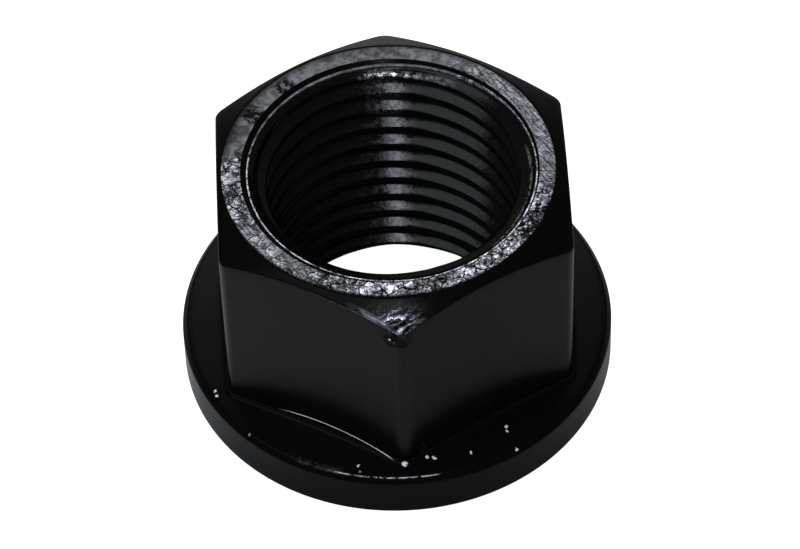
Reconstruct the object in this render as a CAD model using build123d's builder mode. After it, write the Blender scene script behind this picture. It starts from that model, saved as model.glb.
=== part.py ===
from build123d import *
import os
from math import cos, radians, tan

# Wheel nut: a tall hexagon and a plain round flange, forged in one piece and tapped right through.
# Millimetres. The origin is the centre of the flange's bearing face, and the bore runs along +Z.

# Bore, at the crests of a 22 mm thread with a pitch of 2 mm
thread_diameter = 22.0
thread_depth = 1.0825

# Shallow countersink at each end of the bore, a little wider than the thread
mouth_margin = 0.45
mouth_angle = 120.0

# Hexagon, with two of its corners along Y. The wall is from the thread's root to a flat's middle
sides = 6
wall = 2.5
nut_height = 21.3
corner_round = 1.0

# Flange, which stands out beyond the hexagon's sharp corners and rises from its rim inwards
flange_overhang = 1.51
rim_height = 4.05
flange_slope = 10.0
rim_bevel = 0.4
heel_bevel = 0.36
root_round = 0.45

# Top: a round flat face just inside the flats, with the corners bevelled down from it
face_inset = 0.45
bevel_angle = 30.0

# Sizes that follow
across_flats = thread_diameter + 2 * wall
sharp_corner_radius = across_flats / 2 / cos(radians(180 / sides))
flange_radius = sharp_corner_radius + flange_overhang
flange_crown = rim_height + flange_radius * tan(radians(flange_slope))
face_radius = across_flats / 2 - face_inset
bevel_foot = nut_height - (flange_radius - face_radius) * tan(radians(bevel_angle))
bore_radius = thread_diameter / 2 - thread_depth
mouth_radius = thread_diameter / 2 + mouth_margin
mouth_depth = (mouth_radius - bore_radius) / tan(radians(mouth_angle / 2))

with BuildPart() as wheel_nut:
    # The hexagon is a prism with rounded corners
    with BuildSketch(Plane.XY):
        outline = RegularPolygon(across_flats / 2, sides, major_radius=False, rotation=90)
        fillet(outline.vertices(), corner_round)
    extrude(amount=nut_height)

    # Its top is turned to a cone, which leaves the bevelled corners round a flat face
    with BuildSketch(Plane.XZ):
        with BuildLine():
            Polyline(
                (0, 0),
                (flange_radius, 0),
                (flange_radius, bevel_foot),
                (face_radius, nut_height),
                (0, nut_height),
                close=True,
            )
        make_face()
    revolve(axis=Axis.Z, mode=Mode.INTERSECT)

    # The flange is a disc with a low cone on top, and its edges are bevelled above and below
    with BuildSketch(Plane.XZ) as flange_section:
        with BuildLine():
            Polyline((0, 0), (flange_radius, 0), (flange_radius, rim_height), (0, flange_crown), close=True)
        make_face()
        heel, rim = flange_section.vertices().group_by(Axis.X)[-1].sort_by(Axis.Z)
        chamfer(heel, heel_bevel)
        chamfer(rim, rim_bevel)
    revolve(axis=Axis.Z)

    # A small round runs along the foot of the hexagon, which meets the cone in curves, not circles
    near_foot = wheel_nut.edges().filter_by_position(Axis.Z, rim_height, flange_crown)
    foot = near_foot.filter_by(GeomType.LINE, reverse=True).filter_by(GeomType.CIRCLE, reverse=True)
    fillet(foot, root_round)

    # The bore runs through, with a countersink at each end
    with BuildSketch(Plane.XZ):
        with BuildLine():
            Polyline(
                (0, 0),
                (mouth_radius, 0),
                (bore_radius, mouth_depth),
                (bore_radius, nut_height - mouth_depth),
                (mouth_radius, nut_height),
                (0, nut_height),
                close=True,
            )
        make_face()
    revolve(axis=Axis.Z, mode=Mode.SUBTRACT)

wheel_nut.part.label = "wheel_nut"
os.makedirs("parts", exist_ok=True)
export_step(wheel_nut.part, "parts/wheel_nut.step")
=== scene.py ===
import math

import bmesh
import bpy
import numpy as np
from mathutils import Matrix, Vector


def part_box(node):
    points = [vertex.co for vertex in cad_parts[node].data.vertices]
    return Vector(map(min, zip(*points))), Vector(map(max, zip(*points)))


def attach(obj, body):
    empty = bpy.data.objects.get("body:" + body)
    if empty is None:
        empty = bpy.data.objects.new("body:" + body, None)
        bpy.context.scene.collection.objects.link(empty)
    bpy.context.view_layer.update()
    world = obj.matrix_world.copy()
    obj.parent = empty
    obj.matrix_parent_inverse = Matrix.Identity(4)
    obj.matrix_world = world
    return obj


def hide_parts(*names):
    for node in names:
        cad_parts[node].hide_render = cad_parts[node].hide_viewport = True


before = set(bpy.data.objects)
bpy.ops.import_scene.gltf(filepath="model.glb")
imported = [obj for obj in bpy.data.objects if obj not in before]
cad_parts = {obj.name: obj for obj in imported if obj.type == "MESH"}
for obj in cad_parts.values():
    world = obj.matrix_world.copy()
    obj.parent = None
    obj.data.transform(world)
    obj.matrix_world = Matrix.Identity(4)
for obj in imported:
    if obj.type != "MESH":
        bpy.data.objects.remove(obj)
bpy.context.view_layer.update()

# The nut is worked out in millimetres, with the bore along Z and two corners of the hexagon along Y
MM = 0.001
low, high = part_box("wheel_nut")
flange_radius = high.x / MM
nut_height = high.z / MM

# Hexagon and flange
sides = 6
sector = 360 / sides
apothem = 13.5
corner_round = 1.03
rim_height = 4.05
flange_slope = math.radians(10)
rim_bevel = 0.4
heel_bevel = 0.36
root_round = 0.4

# Top face and the bevel round it. The face is turned a little off the bore's axis
face_radius = 12.9
face_centre = (-0.27, 0.0)
face_round = 0.95
face_round_least = 0.05
face_round_share = 0.55
bevel_slope = math.radians(30)

# Upper mouth of the bore: a small step, a ledge that is wider at the back, a steep rim and a countersink
step_radius = 11.48
step_centre = (-0.17, -0.04)
step_depth = 0.27
ledge_radius = 11.2
ledge_width = 0.13
ledge_wider = 0.32
ledge_drop = 0.005
ledge_tilt = 0.22
steep_run = 0.32
steep_fall = 0.36
mouth_radius = 11.45
mouth_floor = 1.02

# Lower mouth: a countersink, where the rings of the bore start a little above the bearing face
lower_floor = 0.885
lower_start = 0.25

# Thread, right-handed, with a groove that is rounded at its root
pitch = 2.0
crest_radius = 9.72
root_radius = 10.56
crest_half = 0.26
crest_at_back = 18.98
back = math.radians(90)
crest_softness = 0.025
mouth_softness = 0.05

# Rounds on the edges
edge_round = 0.16
soft_round = 0.25
step_round = 0.1
ledge_round = 0.03

# Mesh density. Rings of the thread stand closest together at the edges of the crest
corner_steps = 9
flat_steps = 43
arc_steps = 5
groove_shares = (0, 0.25, 0.47, 0.67, 0.85)
crest_edge_gap = 0.012
crest_inner_gap = 0.06
height_tolerance = 1e-9
weld_distance = 1e-7


def hexagon_points():
    """Angles round the nut and the hexagon's radius at each, closely spaced on the rounded corners."""
    arc_centre = (apothem - corner_round) / math.cos(math.radians(sector / 2))
    turn = np.radians(np.linspace(-sector / 2, sector / 2, corner_steps))
    x = arc_centre + corner_round * np.cos(turn)
    y = corner_round * np.sin(turn)
    corner_angle = np.arctan2(y, x)
    corner_radius = np.hypot(x, y)
    last = corner_angle[-1]
    flat_angle = np.linspace(last, math.radians(sector) - last, flat_steps + 2)[1:-1]
    flat_radius = apothem / np.cos(flat_angle - math.radians(sector / 2))
    sector_angle = np.concatenate((corner_angle, flat_angle))
    sector_radius = np.concatenate((corner_radius, flat_radius))
    starts = np.radians(-90 + sector * np.arange(sides))
    return (starts[:, None] + sector_angle).ravel(), np.tile(sector_radius, sides)


angle, hexagon_radius = hexagon_points()
columns = len(angle)


def shifted(radius, centre):
    """The radius at each angle of a circle whose centre is a little off the axis."""
    return radius + centre[0] * np.cos(angle) + centre[1] * np.sin(angle)


def on_line(value, low, high, start, end):
    """The value on a straight line that goes from start at low to end at high."""
    return start + (end - start) * (value - low) / (high - low)


def soft_max(a, b, width):
    """The larger of two lengths, with the change from one to the other rounded."""
    return (a + b) / 2 + np.sqrt(((a - b) / 2) ** 2 + width ** 2 / 4)


def point(radius, height):
    """One corner of the section: its radius and height at every angle."""
    radii = np.broadcast_to(radius, columns)
    heights = np.broadcast_to(height, columns)
    return np.stack((radii, heights), axis=1).astype(float)


def unit(vectors):
    """Each vector at a length of 1."""
    return vectors / np.linalg.norm(vectors, axis=1, keepdims=True)


def rounded(before, corner, after, bend):
    """Points along the arc that rounds one corner of the section."""
    bend = np.broadcast_to(bend, columns).astype(float)
    to_last = unit(before - corner)
    to_next = unit(after - corner)
    half = np.arccos(np.clip((to_last * to_next).sum(1), -1, 1)) / 2
    start = corner + to_last * (bend / np.tan(half))[:, None]
    centre = corner + unit(to_last + to_next) * (bend / np.sin(half))[:, None]
    first = unit(start - centre)
    across = unit(to_next - first * (to_next * first).sum(1)[:, None])
    sweep = math.pi - 2 * half
    arc = []
    for t in np.linspace(0, 1, arc_steps + 1):
        turn = (sweep * t)[:, None]
        arc.append(centre + bend[:, None] * (first * np.cos(turn) + across * np.sin(turn)))
    return arc


def section_rows(section):
    """Rings of points along the section, its corners rounded and the runs between them divided evenly."""
    corners = [point(radius, height) for radius, height, bend, divisions in section]
    rows = [corners[0]]
    for i in range(1, len(section)):
        bend, divisions = section[i][2:]
        arc = [corners[i]]
        if np.min(bend) > 0:
            arc = rounded(corners[i - 1], corners[i], corners[i + 1], bend)
        run_start = rows[-1]
        for t in np.linspace(0, 1, divisions + 1)[1:-1]:
            rows.append(run_start + (arc[0] - run_start) * t)
        rows.extend(arc)
    return rows


# Radii and heights at every angle that the outside and the bore share
crown = rim_height + flange_radius * math.tan(flange_slope)
face_edge = shifted(face_radius, face_centre)
step_edge = shifted(step_radius, step_centre)
wider = ledge_wider * np.maximum(np.sin(angle), 0) ** 2
ledge_inner = ledge_radius - ledge_width - wider
ledge_height = nut_height - step_depth - ledge_drop - ledge_tilt * wider ** 2
lower_start_radius = on_line(lower_start, 0, lower_floor, mouth_radius, crest_radius)
bevel_run = (hexagon_radius - face_edge) / math.cos(bevel_slope)
face_bend = np.clip(face_round_share * bevel_run / math.tan(bevel_slope / 2), face_round_least, face_round)

# The outside, from the lower mouth round the flange, up the hexagon, over the bevel and into the upper mouth.
# Each corner has its radius, its height, its round and the number of divisions in the run up to it
outside = section_rows((
    (lower_start_radius, lower_start, 0, 0),
    (mouth_radius, 0, edge_round, 1),
    (flange_radius - heel_bevel, 0, soft_round, 6),
    (flange_radius, heel_bevel, soft_round, 1),
    (flange_radius, rim_height - rim_bevel, soft_round, 6),
    (
        flange_radius - rim_bevel * math.cos(flange_slope),
        rim_height + rim_bevel * math.sin(flange_slope), soft_round, 1,
    ),
    (hexagon_radius, crown - hexagon_radius * math.tan(flange_slope), root_round, 6),
    (hexagon_radius, nut_height - (hexagon_radius - face_edge) * math.tan(bevel_slope), soft_round, 26),
    (face_edge, nut_height, face_bend, 4),
    (step_edge, nut_height, step_round, 5),
    (ledge_radius, nut_height - step_depth, ledge_round, 1),
    (ledge_inner, ledge_height, 0, 2),
))

# One turn of the thread's section, from the middle of a root to the middle of the next one below
crest_start = pitch / 2 - crest_half
root_at_back = crest_at_back + pitch / 2
half_turn = [crest_start * share for share in groove_shares]
half_turn += [crest_start - crest_edge_gap, crest_start + crest_edge_gap]
half_turn += [crest_start + crest_inner_gap, pitch / 2]
whole_turn = half_turn + [pitch - away for away in reversed(half_turn[1:-1])]
thread_steps = len(whole_turn)


def thread_radius(fall):
    """The thread's radius at a distance below a root's middle."""
    away = np.abs((fall / pitch + 0.5) % 1 - 0.5) * pitch
    share = (crest_start - away) / crest_start
    groove = crest_radius + (root_radius - crest_radius) * np.sin(share * math.pi / 2)
    return soft_max(groove, np.full_like(groove, crest_radius), crest_softness)


def plain_radius(height):
    """The bore's radius without the thread: a countersink at each end and a steep rim above the upper one."""
    steep_radius = ledge_inner - steep_run
    steep_height = ledge_height - steep_fall
    foot_height = nut_height - mouth_floor
    lower = on_line(height, lower_start, lower_floor, lower_start_radius, crest_radius)
    upper = on_line(height, foot_height, steep_height, crest_radius, steep_radius)
    rim = on_line(height, steep_height, ledge_height, steep_radius, ledge_inner)
    upper = np.where(height > steep_height, rim, upper)
    return np.maximum(crest_radius, np.maximum(lower, np.where(height > foot_height, upper, 0)))


def bore_rows():
    """Rings that follow the thread's helix from the ledge down to the lower countersink."""
    rise = pitch * (angle - back) / (2 * math.pi)
    turns_above = math.ceil((nut_height - root_at_back) / pitch) + 1
    turns = turns_above + math.ceil((root_at_back - lower_start) / pitch) + 1
    rows = []
    for j in range(turns * thread_steps + 1):
        fall = (j // thread_steps - turns_above) * pitch + whole_turn[j % thread_steps]
        height = np.clip(root_at_back + rise - fall, lower_start, ledge_height)
        groove = thread_radius(root_at_back + rise - height)
        plain = plain_radius(height)
        # Above the first whole turn the groove dies out under the rim
        groove = np.where(height > ledge_height - steep_fall, np.minimum(groove, plain), groove)
        radius = soft_max(groove, plain, mouth_softness)
        radius = np.where(height >= ledge_height - height_tolerance, ledge_inner, radius)
        radius = np.where(height <= lower_start + height_tolerance, lower_start_radius, radius)
        rows.append(np.stack((radius, height), axis=1))
    return rows


def ring_grid(rows, closed, first_index):
    """Vertices and faces of a stack of rings; in a closed one the last column joins the first one."""
    stack = np.array(rows)
    x = stack[..., 0] * np.cos(angle)
    y = stack[..., 0] * np.sin(angle)
    vertices = np.stack((x, y, stack[..., 1]), axis=-1).reshape(-1, 3)
    faces = []
    for j in range(len(rows) - 1):
        for i in range(columns if closed else columns - 1):
            k = (i + 1) % columns
            a = first_index + j * columns
            b = a + columns
            faces.append((a + i, a + k, b + k, b + i))
    return vertices, faces


def seam_of_bore(rings, base):
    """Faces that join the bore's last column to its first one, which it meets a pitch lower."""
    faces = []
    for j in range(rings - 1):
        upper = max(j - thread_steps, 0)
        lower = max(j - thread_steps + 1, 0)
        left = base + j * columns + columns - 1
        faces.append((left, base + upper * columns, base + lower * columns, left + columns))
    end = base + (rings - 1) * columns + columns - 1
    for j in range(rings - 1 - thread_steps, rings - 1):
        faces.append((end, base + j * columns, base + (j + 1) * columns, end))
    return faces


def clean_faces(faces):
    """Drops repeated corners and faces with fewer than three."""
    kept = []
    for face in faces:
        corners = list(dict.fromkeys(face))
        if len(corners) > 2:
            kept.append(corners)
    return kept


bore = bore_rows()
outside_vertices, outside_faces = ring_grid(outside, True, 0)
bore_vertices, bore_faces = ring_grid(bore, False, len(outside_vertices))
seam_faces = seam_of_bore(len(bore), len(outside_vertices))

mesh = bpy.data.meshes.new("wheel_nut_body")
vertices = np.concatenate((outside_vertices, bore_vertices)) * MM
mesh.from_pydata(vertices.tolist(), [], clean_faces(outside_faces + bore_faces + seam_faces))
nut = bpy.data.objects.new("wheel_nut_body", mesh)
bpy.context.scene.collection.objects.link(nut)

welded = bmesh.new()
welded.from_mesh(mesh)
bmesh.ops.remove_doubles(welded, verts=welded.verts, dist=weld_distance)
bmesh.ops.recalc_face_normals(welded, faces=welded.faces)
for face in welded.faces:
    face.smooth = True
welded.to_mesh(mesh)
welded.free()
mesh.update()

# Colours, with levels of grey for the worn places, and how strongly each black finish shines
paint_colour = (0.0031, 0.0029, 0.0026, 1)
# A lighter paint colour down the front corner, a painted sheen
corner_sheen_colour = (0.0086, 0.0082, 0.0075, 1)
bare_level = 0.4
# The pale level also colours the painted highlights on the paint
pale_level = 0.9
rubbed_level = 0.45
paint_shine = 0.041
bore_shine = 0.2

# Height of the small bumps on each finish, in millimetres
paint_relief = 0.004
top_relief = 0.01
bore_relief = 0.009

# Roughness of the worn face, and how much rougher bare metal is than the black round it
top_roughness = 0.2
paint_wear_roughness = 0.3
bore_wear_roughness = 0.2

# Strength of the fainter marks, from 0 to 1
rim_smear_strength = 0.1
foot_wear_strength = 0.4
glint_strength = 0.12
lip_strength = 0.2
left_streak_strength = 0.55

# Plates of the crazed face, in millimetres, how far its border wanders, and how much each plate is tilted
large_plate = 1.05
small_plate = 0.42
border_wander = 6
plate_tilt = 0.5

# Soft edges, as shares of a line's half width and of a spot's radius
line_core = 0.4
spot_core = 0.75
spot_edge = 1.2

# Small marks, each with its place and its radius in millimetres
pale_marks = (
    (-0.1, -15.55, 4.32, 0.22), (1.65, -15.05, 4.4, 0.14), (2.25, -15.15, 4.37, 0.14),
    (-14.6, -7.3, 4.18, 0.15), (-14.5, -7.8, 4.17, 0.12), (8.0, -12.5, 4.44, 0.14),
    (8.05, -12.9, 4.39, 0.11), (8.7, -14.5, 4.08, 0.2), (5.1, -14.8, 4.3, 0.11),
    (-3.7, -15.5, 4.25, 0.11),
)
# Two pale dots at the lower edge of the dent below the front corner, painted glints
painted_corner_glints = ((-0.85, -15.0, 18.9, 0.13), (-0.55, -15.2, 18.75, 0.07))
face_chips = (
    (-7.9, 9.0, nut_height, 0.8), (-10.4, 6.1, nut_height, 1.0),
    (11.4, -5.1, nut_height, 1.0), (10.2, -6.9, nut_height, 1.1),
)

# The rubbed front corner, the dent below it and the least worn part of the top face, in millimetres
rubbed_middle = (-0.3, -14.75, 20.25)
dent_place = (-0.35, -15.0, 19.4)
dent_radius = 1.25
dent_depth = 0.6
least_worn = (-6.3, -9.3, nut_height)

# Ways in the XY plane: out from the left front flat, along it to the right, and to the face's smooth part
flat_outwards = (-0.5, -0.866)
flat_along = (0.866, -0.5)
smooth_way = (-0.41, 0.91)

# The painted highlight along the left front flat's foot, a bright line, in millimetres, sags to both sides of
# its middle
foot_line_height = 5.42
foot_line_middle = 0.6
foot_line_half = 0.075
foot_line_sag = 29.0
foot_line_climb = 0.9

# The bevel's lower edge lies at one level when the height and a share of the radius are added
bevel_level = nut_height + face_radius * math.tan(bevel_slope)


# Materials. Textures are placed in metres by the object's own coordinates
def add(tree, kind, **values):
    """A shader node; a value whose name starts with in_ is for the input of that name."""
    node = tree.nodes.new(kind)
    for name, value in values.items():
        if name.startswith("in_"):
            node.inputs[name[3:].replace("_", " ")].default_value = value
        else:
            setattr(node, name, value)
    return node


def feed(tree, socket, value):
    """Sets an input to a number or to a few of them, or links it to another node's output."""
    if isinstance(value, (int, float, tuple)):
        socket.default_value = value
    else:
        tree.links.new(value, socket)


def maths(tree, operation, first, second=0.0):
    """Two numbers, or outputs of nodes, put together by an operation."""
    node = add(tree, "ShaderNodeMath", operation=operation)
    feed(tree, node.inputs[0], first)
    feed(tree, node.inputs[1], second)
    return node.outputs[0]


def product(tree, *factors):
    """All the factors multiplied."""
    result = factors[0]
    for factor in factors[1:]:
        result = maths(tree, "MULTIPLY", result, factor)
    return result


def largest(tree, *values):
    """The largest of the values."""
    result = values[0]
    for value in values[1:]:
        result = maths(tree, "MAXIMUM", result, value)
    return result


def vector_maths(tree, operation, first, *second):
    """A node that does vector maths on one or two vectors."""
    node = add(tree, "ShaderNodeVectorMath", operation=operation)
    for socket, value in zip(node.inputs, (first, *second)):
        feed(tree, socket, value)
    return node


def ramp(tree, value, low, high, start=0.0, end=1.0):
    """A smooth step from start to end as the value goes from low to high."""
    node = add(tree, "ShaderNodeMapRange", interpolation_type="SMOOTHSTEP")
    feed(tree, node.inputs["Value"], value)
    node.inputs["From Min"].default_value = low
    node.inputs["From Max"].default_value = high
    node.inputs["To Min"].default_value = start
    node.inputs["To Max"].default_value = end
    return node.outputs["Result"]


def fade(tree, length, low, high, start=0.0, end=1.0):
    """A smooth step from start to end as a length goes from low to high, both in millimetres."""
    return ramp(tree, length, low * MM, high * MM, start, end)


def span(tree, length, low, full, full_end, high):
    """1 from full to full_end, fading to 0 at low and at high, in millimetres."""
    return product(tree, fade(tree, length, low, full), fade(tree, length, high, full_end))


def band(tree, length, middle, half_width):
    """1 on a line of the given half width in millimetres, fading to 0 beside it."""
    away = maths(tree, "ABSOLUTE", maths(tree, "SUBTRACT", length, middle * MM))
    return fade(tree, away, half_width, half_width * line_core)


def blend(tree, share, first, second, kind="RGBA"):
    """A mix of two colours, or with the kind FLOAT of two numbers."""
    node = add(tree, "ShaderNodeMix", data_type=kind)
    feed(tree, node.inputs["Factor"], share)
    feed(tree, node.inputs["A"], first)
    feed(tree, node.inputs["B"], second)
    return node.outputs["Result"]


def grey(level, green=1.01, blue=1.06):
    """A slightly cool grey."""
    return (level, level * green, level * blue, 1)


def noise(tree, place, size, detail=2.0, roughness=0.5, output="Fac"):
    """Soft noise whose lumps are about the given size in millimetres."""
    node = add(tree, "ShaderNodeTexNoise", in_Scale=1 / (size * MM), in_Detail=detail, in_Roughness=roughness)
    feed(tree, node.inputs["Vector"], place)
    return node.outputs[output]


def patchy(tree, place, size, low, high, start=0.0, end=1.0, detail=2.0, roughness=0.5):
    """Patches of about the given size in millimetres: start where noise is under low, end where over high."""
    return ramp(tree, noise(tree, place, size, detail, roughness), low, high, start, end)


def cells(tree, place, size, feature="F1", dimensions="3D"):
    """Irregular cells of about the given size in millimetres."""
    node = add(
        tree, "ShaderNodeTexVoronoi", voronoi_dimensions=dimensions, feature=feature,
        in_Scale=1 / (size * MM),
    )
    feed(tree, node.inputs["Vector"], place)
    return node


def specks(tree, place, spacing, share, outer, inner, dimensions="3D"):
    """Small dots in a share of the cells, fading from the inner to the outer radius, all in millimetres."""
    node = cells(tree, place, spacing, dimensions=dimensions)
    dot = ramp(tree, node.outputs["Distance"], outer / spacing, inner / spacing)
    split = add(tree, "ShaderNodeSeparateColor")
    feed(tree, split.inputs[0], node.outputs["Color"])
    return product(tree, dot, maths(tree, "GREATER_THAN", split.outputs[0], 1 - share))


def warped(tree, place, size, amount):
    """The coordinates pushed about by noise, both in millimetres."""
    pushes = noise(tree, place, size, output="Color")
    centred = vector_maths(tree, "SUBTRACT", pushes, (0.5, 0.5, 0.5)).outputs["Vector"]
    reach = amount * MM
    scaled = vector_maths(tree, "MULTIPLY", centred, (reach, reach, reach)).outputs["Vector"]
    return vector_maths(tree, "ADD", place, scaled).outputs["Vector"]


def coordinates(tree, place):
    """X, Y and Z in metres."""
    split = add(tree, "ShaderNodeSeparateXYZ")
    feed(tree, split.inputs[0], place)
    return split.outputs["X"], split.outputs["Y"], split.outputs["Z"]


def from_axis(tree, place):
    """The distance from the bore's axis, in metres."""
    flat_place = vector_maths(tree, "MULTIPLY", place, (1, 1, 0)).outputs["Vector"]
    return vector_maths(tree, "LENGTH", flat_place).outputs["Value"]


def distance_from(tree, place, centre):
    """The distance in metres from a point that is given in millimetres."""
    return vector_maths(tree, "DISTANCE", place, tuple(c * MM for c in centre)).outputs["Value"]


def spots(tree, place, marks):
    """1 at each of several marks, each with its place and its radius, and 0 outside them."""
    each = []
    for *centre, radius in marks:
        away = distance_from(tree, place, centre)
        each.append(fade(tree, away, radius * spot_edge, radius * spot_core))
    return largest(tree, *each)


def towards(tree, x, y, way):
    """How far a point lies along a way in the XY plane, in metres."""
    return maths(tree, "ADD", product(tree, x, way[0]), product(tree, y, way[1]))


def stretched(tree, x, y, heading, long, short):
    """Noise drawn out along a heading in the XY plane, with the two sizes in millimetres."""
    turn = math.radians(heading)
    along = towards(tree, x, y, (math.cos(turn), math.sin(turn)))
    beside = towards(tree, x, y, (-math.sin(turn), math.cos(turn)))
    where = add(tree, "ShaderNodeCombineXYZ")
    feed(tree, where.inputs[0], product(tree, along, 1 / (long * MM)))
    feed(tree, where.inputs[1], product(tree, beside, 1 / (short * MM)))
    node = add(tree, "ShaderNodeTexNoise", in_Scale=1.0, in_Detail=3.0, in_Roughness=0.65)
    feed(tree, node.inputs["Vector"], where.outputs[0])
    return node.outputs["Fac"]


def height_bump(tree, shader, height, distance):
    """Raises the surface by the distance in millimetres where the height is 1."""
    node = add(tree, "ShaderNodeBump", in_Strength=1.0, in_Distance=distance * MM)
    feed(tree, node.inputs["Height"], height)
    feed(tree, shader.inputs["Normal"], node.outputs["Normal"])


def new_material(name):
    """A material with its nodes, its shader and the coordinates of the object."""
    material = bpy.data.materials.new(name)
    material.use_nodes = True
    tree = material.node_tree
    place = add(tree, "ShaderNodeTexCoord").outputs["Object"]
    return material, tree, tree.nodes["Principled BSDF"], place


def painted_steel():
    """Satin black paint: bright specks low down, worn edges in front and a rubbed front corner, with painted
    highlights: a lighter sheen down the front corner and a bright line along a flat's foot.
    """
    material, tree, shader, place = new_material("painted_steel")
    x, y, z = coordinates(tree, place)
    out = from_axis(tree, place)

    # Specks on the flange's top in front
    on_flange = product(tree, span(tree, z, 3.8, 4.0, 4.8, 5.0), fade(tree, y, -6.5, -9))
    dots = specks(tree, place, spacing=1.7, share=0.1, outer=0.12, inner=0.06, dimensions="2D")
    speck = product(tree, dots, on_flange)
    pale_speck = spots(tree, warped(tree, place, size=0.25, amount=0.4), pale_marks)

    # The rim's upper edge, worn in short lengths, with a smear to the left of them
    in_front = fade(tree, y, -12, -14)
    rim_edge = rim_height + 0.02
    rim_wear = product(
        tree, band(tree, z, rim_edge, 0.05), in_front, span(tree, x, -6.4, -5, 2, 2.8),
        patchy(tree, place, 0.9, 0.47, 0.57, detail=4.0, roughness=0.7),
    )
    smear = product(
        tree, band(tree, z, rim_edge, 0.13), in_front, span(tree, x, -9.2, -8, -5.5, -4.5),
        patchy(tree, place, 0.5, 0.4, 0.65, detail=4.0, roughness=0.7), rim_smear_strength,
    )

    # A fine bright line along the foot of the left front flat, a painted highlight
    outwards = towards(tree, x, y, flat_outwards)
    along = towards(tree, x, y, flat_along)
    past_middle = maths(tree, "SUBTRACT", along, foot_line_middle * MM)
    sag = product(tree, past_middle, past_middle, foot_line_sag)
    from_flat = maths(tree, "SUBTRACT", outwards, apothem * MM)
    up_foot = maths(tree, "SUBTRACT", z, product(tree, from_flat, foot_line_climb))
    painted_foot_highlight = product(
        tree, band(tree, maths(tree, "ADD", up_foot, sag), foot_line_height, foot_line_half),
        span(tree, along, -3.6, -1.2, 6.2, 6.9), fade(tree, outwards, 13.2, 13.4),
        fade(tree, out, 16.6, 16.0), patchy(tree, place, 1.1, 0.3, 0.5, start=0.5),
    )

    # The bevel's lower edge is rubbed thin to the left of the front corner
    bevel_depth = maths(tree, "ADD", z, product(tree, out, math.tan(bevel_slope)))
    crease = product(
        tree, band(tree, bevel_depth, bevel_level - 0.08, 0.05), fade(tree, y, -11, -12),
        span(tree, x, -7.5, -5.5, -2, -0.8),
        patchy(tree, place, 0.8, 0.35, 0.6, start=0.02, end=0.16, detail=3.0),
    )

    # The front corner's bevel is rubbed through in flecks that run down to the corner
    on_bevel = fade(tree, bevel_depth, bevel_level - 0.09, bevel_level - 0.04)
    sway = product(tree, noise(tree, place, 1.5), 0.8 * MM)
    from_middle = maths(tree, "ABSOLUTE", maths(tree, "ADD", x, sway))
    corner_rub = product(
        tree, fade(tree, from_middle, 3.2, 1.0), fade(tree, y, -13.0, -14.8), on_bevel,
        ramp(tree, stretched(tree, x, y, heading=20, long=0.85, short=0.26), 0.47, 0.57),
        patchy(tree, place, 0.2, 0.35, 0.6, start=0.2, detail=3.0, roughness=0.7),
        fade(tree, distance_from(tree, place, rubbed_middle), 1.6, 0.3, start=0.3),
    )

    # Left of it a smear follows the bevel's lower edge
    edge_smear = product(
        tree, fade(tree, outwards, apothem - 0.5, apothem - 0.15), fade(tree, z, 19.5, 19.7), on_bevel,
        span(tree, x, -4.2, -2.4, -1.0, -0.3),
        ramp(tree, stretched(tree, x, y, heading=-30, long=1.2, short=0.2), 0.35, 0.62, start=0.04, end=0.4),
    )

    # Down the front corner the paint colour is painted lighter, a painted sheen
    corner = product(
        tree, fade(tree, maths(tree, "ABSOLUTE", x), 1.0, 0.3), fade(tree, y, -14.7, -15.0),
        span(tree, z, 4.6, 7.0, 17.6, 19.0),
    )

    bare = largest(tree, speck, rim_wear, smear, crease)
    rubbed = largest(tree, corner_rub, edge_smear)
    # Pale specks, with the foot line and the dots by the dent, which are painted highlights
    pale_and_painted_highlight = largest(tree, pale_speck, painted_foot_highlight, spots(tree, place, painted_corner_glints))
    colour = blend(tree, corner, paint_colour, corner_sheen_colour)
    colour = blend(tree, bare, colour, grey(bare_level))
    colour = blend(tree, rubbed, colour, grey(rubbed_level, blue=1.12))
    feed(tree, shader.inputs["Base Color"], blend(tree, pale_and_painted_highlight, colour, grey(pale_level, blue=1.03)))
    feed(tree, shader.inputs["Metallic"], maths(tree, "MAXIMUM", bare, rubbed))
    satin = patchy(tree, place, 0.9, 0.3, 0.7, start=0.2, end=0.26, detail=4.0, roughness=0.6)
    rougher = product(tree, bare, paint_wear_roughness)
    feed(tree, shader.inputs["Roughness"], maths(tree, "ADD", satin, rougher))
    shader.inputs["Specular IOR Level"].default_value = paint_shine

    # Below the front corner there is a small dent
    from_dent = distance_from(tree, warped(tree, place, size=0.8, amount=0.7), dent_place)
    dent = maths(tree, "MINIMUM", product(tree, from_dent, 1 / (dent_radius * MM)), 1.0)
    surface = maths(tree, "ADD", noise(tree, place, 0.5, detail=3.0), rubbed)
    surface = maths(tree, "ADD", surface, product(tree, dent, dent_depth / paint_relief))
    height_bump(tree, shader, surface, paint_relief)
    return material


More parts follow.
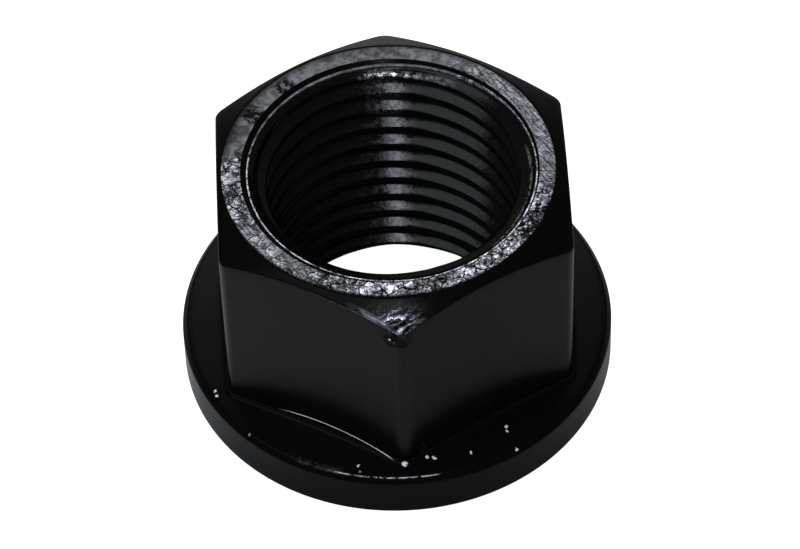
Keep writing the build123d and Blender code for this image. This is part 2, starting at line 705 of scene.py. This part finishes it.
def worn_top():
    """Black finish worn to bare steel: smooth at the back, brushed on the right and crazed elsewhere."""
    material, tree, shader, place = new_material("worn_top")
    x, y = coordinates(tree, place)[:2]
    out = from_axis(tree, place)
    lumps = noise(tree, place, 1.2, detail=4.0, roughness=0.7)
    border = maths(tree, "ADD", towards(tree, x, y, smooth_way), product(tree, lumps, border_wander * MM))
    crazed = fade(tree, border, 10.4, 9.2)

    # Two sizes of plate with ragged cracks between them
    bent = warped(tree, warped(tree, place, size=0.9, amount=0.75), size=0.22, amount=0.2)
    coarse = cells(tree, bent, large_plate, "DISTANCE_TO_EDGE").outputs["Distance"]
    fine = cells(tree, bent, small_plate, "DISTANCE_TO_EDGE").outputs["Distance"]
    no_fine = maths(tree, "SUBTRACT", 1.0, patchy(tree, place, 1.6, 0.42, 0.58, detail=3.0))
    fine_cracks = maths(tree, "MAXIMUM", ramp(tree, fine, 0.02, 0.13, start=0.12), no_fine)
    healed = patchy(tree, place, 0.8, 0.5, 0.62, detail=3.0)
    coarse_cracks = maths(tree, "MAXIMUM", ramp(tree, coarse, 0.02, 0.08), healed)
    centred = maths(tree, "SUBTRACT", noise(tree, bent, 0.75, detail=4.0, roughness=0.6), 0.5)
    stray_cracks = ramp(tree, maths(tree, "ABSOLUTE", centred), 0.004, 0.028, start=0.06)
    plates = product(tree, fine_cracks, coarse_cracks, stray_cracks)

    # Each plate has its own brightness, and the plates are brighter towards the front
    shade = add(tree, "ShaderNodeSeparateColor")
    feed(tree, shade.inputs[0], cells(tree, bent, small_plate).outputs["Color"])
    plate_level = product(
        tree, plates, ramp(tree, shade.outputs[0], 0.0, 1.0, start=0.12, end=0.26),
        patchy(tree, place, 0.26, 0.3, 0.7, start=0.6, end=1.25, detail=3.0, roughness=0.6),
        patchy(tree, place, 0.9, 0.4, 0.6, start=0.3, end=1.3, detail=4.0, roughness=0.65),
        fade(tree, y, 0, -10, start=1.0, end=1.5),
        fade(tree, distance_from(tree, place, least_worn), 1.4, 3.2, start=0.6),
    )

    # Brushed streaks on the right and on the left in front
    right_side = product(tree, fade(tree, x, 5.5, 8.5), fade(tree, y, -3.5, -0.5))
    left_front = product(tree, fade(tree, x, -5, -8), fade(tree, y, -3.5, -6))
    brushed = largest(tree, right_side, product(tree, left_front, left_streak_strength))
    lines = stretched(tree, x, y, heading=-58, long=1.5, short=0.16)
    streaks = product(
        tree, ramp(tree, lines, 0.33, 0.66, start=0.02, end=0.185), ramp(tree, coarse, 0.0, 0.05, start=0.2),
    )
    worn = blend(tree, brushed, plate_level, streaks, kind="FLOAT")

    # The smooth part darkens towards its outer edge
    mottled = patchy(tree, place, 0.8, 0.35, 0.65, start=0.022, end=0.082, detail=5.0, roughness=0.65)
    smooth = product(tree, mottled, fade(tree, out, 13.1, 12.2, start=0.2))
    level = blend(tree, crazed, smooth, worn, kind="FLOAT")

    # Dark chips, with a ragged outline
    ragged = patchy(tree, bent, 0.55, 0.44, 0.5, end=0.97, detail=4.0, roughness=0.7)
    chips = product(tree, spots(tree, place, face_chips), ragged)
    level = product(tree, level, maths(tree, "SUBTRACT", 1.0, chips))

    # The inner edge shines in short lengths at the sides and in front
    lip = product(
        tree, fade(tree, out, 11.35, 11.28), fade(tree, y, 3, 1),
        patchy(tree, place, 0.6, 0.4, 0.55, detail=3.0), lip_strength,
    )
    level = maths(tree, "ADD", level, lip)
    colour = add(tree, "ShaderNodeCombineColor")
    for socket, share in zip(colour.inputs, grey(1.0, green=1.02, blue=1.12)):
        feed(tree, socket, product(tree, level, share))
    feed(tree, shader.inputs["Base Color"], colour.outputs[0])
    shader.inputs["Metallic"].default_value = 1.0
    shader.inputs["Roughness"].default_value = top_roughness
    tilt = product(tree, shade.outputs[1], crazed, plate_tilt)
    height_bump(tree, shader, maths(tree, "ADD", product(tree, plates, crazed), tilt), top_relief)
    return material


def cut_steel():
    """The blackened bore, a little rough, with speckled highlights and worn edges at its mouth."""
    material, tree, shader, place = new_material("cut_steel")
    x, y, z = coordinates(tree, place)
    speckle = patchy(tree, place, 0.36, 0.46, 0.56, detail=4.0, roughness=0.75)

    # The countersink is speckled at the back
    at_back = product(
        tree, band(tree, z, 20.62, 0.24), fade(tree, y, 8.2, 9.2), span(tree, x, -2.4, -1.6, 3.5, 6.6),
        fade(tree, x, 1.2, 3.0, start=0.8, end=0.3), speckle,
    )

    # Worn dashes on the right of the rim, and a worn line at the countersink's foot on the left
    dashes = product(
        tree, band(tree, z, nut_height - step_depth - steep_fall, 0.07), fade(tree, x, 7.0, 8.5),
        fade(tree, y, 2.5, 0.5), speckle,
    )
    foot = product(
        tree, band(tree, z, nut_height - mouth_floor, 0.05), fade(tree, x, -0.5, -1.5),
        fade(tree, y, 5.0, 6.5), foot_wear_strength,
    )

    # Glints on the upper turns at the back
    from_middle = maths(tree, "ABSOLUTE", maths(tree, "ADD", x, 0.3 * MM))
    glints = product(
        tree, fade(tree, from_middle, 1.6, 0.9), fade(tree, y, 8, 9), fade(tree, z, 15.5, 17.5),
        speckle, glint_strength,
    )
    flecks = specks(tree, place, spacing=1.3, share=0.03, outer=0.06, inner=0.035)
    bare = largest(tree, flecks, at_back, dashes, foot, glints)
    feed(tree, shader.inputs["Base Color"], blend(tree, bare, paint_colour, grey(bare_level)))
    feed(tree, shader.inputs["Metallic"], bare)
    polish = patchy(tree, place, 0.4, 0.32, 0.68, start=0.05, end=0.27, detail=4.0, roughness=0.7)
    rougher = product(tree, bare, bore_wear_roughness)
    feed(tree, shader.inputs["Roughness"], maths(tree, "ADD", polish, rougher))
    shader.inputs["Specular IOR Level"].default_value = bore_shine
    height_bump(tree, shader, noise(tree, place, 0.3, detail=3.0, roughness=0.6), bore_relief)
    return material


# The top face is what lies level near the top, and the bore all that lies within the ledge
top_zone = nut_height - step_depth - 0.1
level_enough = 0.97
bore_zone = ledge_radius + 0.02
mesh.materials.append(painted_steel())
mesh.materials.append(worn_top())
mesh.materials.append(cut_steel())
for polygon in mesh.polygons:
    centre = polygon.center / MM
    if centre.z > top_zone and polygon.normal.z > level_enough:
        polygon.material_index = 1
    elif math.hypot(centre.x, centre.y) < bore_zone:
        polygon.material_index = 2

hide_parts("wheel_nut")
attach(nut, "root")


def pale_floor():
    """Pale ground with an even glow. Under the nut its colour is painted dark as shade, and reflections see a
    painted shadow round and behind the nut.
    """
    material = bpy.data.materials.new("pale_floor")
    material.use_nodes = True
    tree = material.node_tree
    tree.nodes.clear()
    path = add(tree, "ShaderNodeLightPath").outputs
    ground = add(tree, "ShaderNodeTexCoord").outputs["Object"]
    x, y = coordinates(tree, ground)[:2]
    out = from_axis(tree, ground)

    # Painted shade seen only in reflections: the glow is dark close round the nut, and dimmer behind it and
    # on the right
    painted_shadow_behind = maths(tree, "MAXIMUM", fade(tree, y, 6, -8, start=0.02), fade(tree, out, 32, 40, end=0.3))
    mirrored = product(
        tree, maths(tree, "MAXIMUM", path["Is Glossy Ray"], path["Is Transmission Ray"]),
        fade(tree, out, 16.2, 23.5, start=0.015), painted_shadow_behind, fade(tree, x, -20, 20, start=0.8, end=0.44),
    )
    seen = maths(tree, "MAXIMUM", path["Is Camera Ray"], mirrored)
    glow = add(tree, "ShaderNodeEmission")
    feed(tree, glow.inputs["Strength"], product(tree, seen, fade(tree, out, 15.5, 16.5, start=1.0, end=0.93)))
    # Under the nut the ground's colour is painted dark, a painted shade
    diffuse = add(tree, "ShaderNodeBsdfDiffuse")
    feed(tree, diffuse.inputs["Color"], fade(tree, out, 15.5, 16.5, start=0.1, end=0.8))
    both = add(tree, "ShaderNodeAddShader")
    feed(tree, both.inputs[0], diffuse.outputs[0])
    feed(tree, both.inputs[1], glow.outputs[0])
    output = add(tree, "ShaderNodeOutputMaterial")
    feed(tree, output.inputs["Surface"], both.outputs[0])
    return material


# Floor, a hair below the bearing face, in metres
floor_half = 1.5
floor_drop = 0.00002
corner_signs = ((-1, -1), (1, -1), (1, 1), (-1, 1))
floor_corners = [(x * floor_half, y * floor_half, -floor_drop) for x, y in corner_signs]
floor_mesh = bpy.data.meshes.new("floor")
floor_mesh.from_pydata(floor_corners, [], [(0, 1, 2, 3)])
floor_mesh.materials.append(pale_floor())
floor = bpy.data.objects.new("floor", floor_mesh)
bpy.context.scene.collection.objects.link(floor)

# World
world_level = 0.12
world = bpy.data.worlds.new("studio")
world.use_nodes = True
world.node_tree.nodes["Background"].inputs["Color"].default_value = (world_level, world_level, world_level, 1)
bpy.context.scene.world = world

nut_middle = Vector((0, 0, nut_height * MM / 2))
light_distance = 0.6


def direction(azimuth, elevation):
    """The way to a point at an azimuth, 0 at the camera's side and 90 on the right, and an elevation."""
    a = math.radians(azimuth)
    e = math.radians(elevation)
    return Vector((math.sin(a) * math.cos(e), -math.cos(a) * math.cos(e), math.sin(e)))


def softbox(name, azimuth, elevation, width, height, radiance, colour):
    """A rectangular light that faces the nut, with its width and height in metres."""
    lamp = bpy.data.lights.new(name, "AREA")
    lamp.shape = "RECTANGLE"
    lamp.size = width
    lamp.size_y = height
    lamp.energy = radiance * math.pi * width * height
    lamp.color = colour
    holder = bpy.data.objects.new(name, lamp)
    away = direction(azimuth, elevation)
    holder.location = nut_middle + away * light_distance
    holder.rotation_euler = away.to_track_quat("Z", "Y").to_euler()
    bpy.context.scene.collection.objects.link(holder)


# Lights
softbox(
    "back_softbox", azimuth=180, elevation=44, width=0.42, height=0.3,
    radiance=2.5, colour=(0.96, 0.98, 1.0),
)
softbox(
    "front_softbox", azimuth=0, elevation=58, width=0.075, height=0.36,
    radiance=13.5, colour=(0.84, 0.88, 1.0),
)
softbox(
    "left_panel", azimuth=-58, elevation=57, width=0.42, height=0.44,
    radiance=1.75, colour=(0.82, 0.94, 1.0),
)

# Camera, at the photograph's angle
focal_pixels = 4300.0
frame_width = 800
sensor_width = 36
camera_distance = 0.33786
camera_azimuth = -1.03
camera_elevation = 49.44
camera_roll = 2.0
aim_right = 5.08
aim_up = -16.46

view = direction(camera_azimuth, camera_elevation)
right = Vector((0, 0, 1)).cross(view).normalized()
up = view.cross(right)
roll = math.radians(camera_roll)
screen_right = right * math.cos(roll) - up * math.sin(roll)
screen_up = right * math.sin(roll) + up * math.cos(roll)
camera_data = bpy.data.cameras.new("camera")
camera_data.sensor_width = sensor_width
camera_data.lens = focal_pixels * sensor_width / frame_width
camera = bpy.data.objects.new("camera", camera_data)
aim = nut_middle + (screen_right * aim_right + screen_up * aim_up) * (camera_distance / focal_pixels)
where = nut_middle + view * camera_distance
look = (where - aim).normalized()
turned_right = (screen_right - look * screen_right.dot(look)).normalized()
turned_up = look.cross(turned_right)
camera.matrix_world = Matrix((
    (turned_right.x, turned_up.x, look.x, where.x),
    (turned_right.y, turned_up.y, look.y, where.y),
    (turned_right.z, turned_up.z, look.z, where.z),
    (0, 0, 0, 1),
))
bpy.context.scene.collection.objects.link(camera)
bpy.context.scene.camera = camera

bpy.context.scene.view_settings.view_transform = "Standard"
